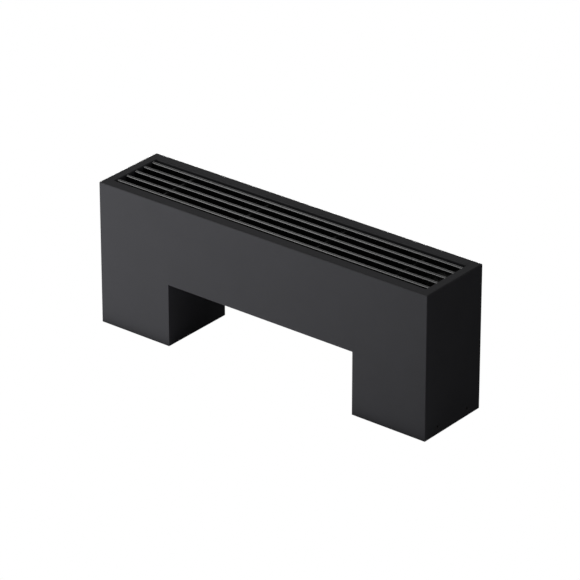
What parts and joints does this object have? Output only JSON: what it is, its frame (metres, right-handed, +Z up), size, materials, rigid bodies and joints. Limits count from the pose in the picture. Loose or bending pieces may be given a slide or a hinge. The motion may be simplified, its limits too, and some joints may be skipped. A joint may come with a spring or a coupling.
{
  "type": "floor-standing convector",
  "caption": "Long low black box casing on two wide box legs with an open arch between them, a lift-off bar grille on top and a finned hot-water heat exchanger inside.",
  "frame": {"origin": "on the floor, under the middle of the casing", "axes": "+X along the casing, the valves at its +X end; -Y is the front face; +Z up"},
  "size_m": [0.6, 0.13, 0.23],
  "materials": {
    "casing_paint": "black powder coat, fine texture, satin",
    "grille_finish": "black anodised, satin",
    "zinc_steel": "galvanised",
    "screw_steel": "black oxide",
    "rubber": "matt",
    "fin_aluminium": "mill",
    "copper": "drawn copper, dulled",
    "bush_plastic": "moulded",
    "brass": "cast and turned",
    "nickel": "nickel plated, satin",
    "white_plastic": "moulded"
  },
  "bodies": {
    "casing": {"front_panel": "casing_paint", "rear_panel": "casing_paint", "left_end_panel": "casing_paint", "right_end_panel": "casing_paint", "left_leg_inner_panel": "casing_paint", "right_leg_inner_panel": "casing_paint", "front_left_corner_angle": "zinc_steel", "front_right_corner_angle": "zinc_steel", "rear_left_corner_angle": "zinc_steel", "rear_right_corner_angle": "zinc_steel", "casing_screws": "screw_steel", "left_grille_ledge": "zinc_steel", "right_grille_ledge": "zinc_steel", "left_grille_pad": "rubber", "right_grille_pad": "rubber", "left_floor_bracket": "zinc_steel", "right_floor_bracket": "zinc_steel", "left_upright": "zinc_steel", "right_upright": "zinc_steel", "upright_studs": "zinc_steel", "upright_nuts": "zinc_steel", "exchanger_fins": "fin_aluminium", "front_exchanger_tube": "copper", "rear_exchanger_tube": "copper", "left_end_plate": "zinc_steel", "right_end_plate": "zinc_steel", "tube_bushes": "bush_plastic", "return_header": "brass", "air_vent_body": "brass", "drain_plug": "brass", "supply_pipe": "copper", "return_pipe": "copper", "supply_valve_body": "brass", "return_valve_body": "brass", "clamping_nuts": "brass", "clamping_rings": "brass", "valve_insert": "nickel", "lockshield_bonnet": "brass"},
    "grille": {"grille_bar_1": "grille_finish", "grille_bar_2": "grille_finish", "grille_bar_3": "grille_finish", "grille_bar_4": "grille_finish", "grille_bar_5": "grille_finish", "grille_tie_rods": "grille_finish", "grille_spacers": "grille_finish"},
    "supply_stem": {"valve_stem": "nickel"},
    "hand_cap": {"hand_cap": "white_plastic"},
    "return_disc": {"lockshield_disc": "brass"},
    "return_spindle": {"lockshield_spindle": "brass"},
    "dust_cap": {"lockshield_cap": "white_plastic"},
    "bleed_screw": {"vent_screw": "brass"}
  },
  "joints": [
    {"name": "grille_lift", "type": "slide", "parent": "casing", "child": "grille", "axis": [0, 0, 1], "range_m": [0, 0.08]},
    {"name": "supply_stem_slide", "type": "slide", "parent": "casing", "child": "supply_stem", "axis": [0, 0, -1], "range_m": [0, 0.003]},
    {"name": "hand_cap_turn", "type": "hinge", "parent": "supply_stem", "child": "hand_cap", "pos_m": [0.246, -0.025, 0.15], "axis": [0, 0, -1], "range_deg": [0, 720]},
    {"name": "return_disc_slide", "type": "slide", "parent": "casing", "child": "return_disc", "axis": [0, 0, -1], "range_m": [0, 0.003]},
    {"name": "return_spindle_turn", "type": "hinge", "parent": "return_disc", "child": "return_spindle", "pos_m": [0.246, 0.025, 0.15], "axis": [0, 0, -1], "range_deg": [0, 1080]},
    {"name": "dust_cap_pull", "type": "slide", "parent": "casing", "child": "dust_cap", "axis": [0, 0, 1], "range_m": [0, 0.016]},
    {"name": "bleed_screw_turn", "type": "hinge", "parent": "casing", "child": "bleed_screw", "pos_m": [-0.246, 0, 0.15], "axis": [0, 0, 1], "range_deg": [0, 360]}
  ],
  "couplings": [
    {"joint": "supply_stem_slide", "follows": "hand_cap_turn", "m_per_rad": 0.00023873},
    {"joint": "return_spindle_turn", "follows": "return_disc_slide", "rad_per_m": 6283.2}
  ]
}
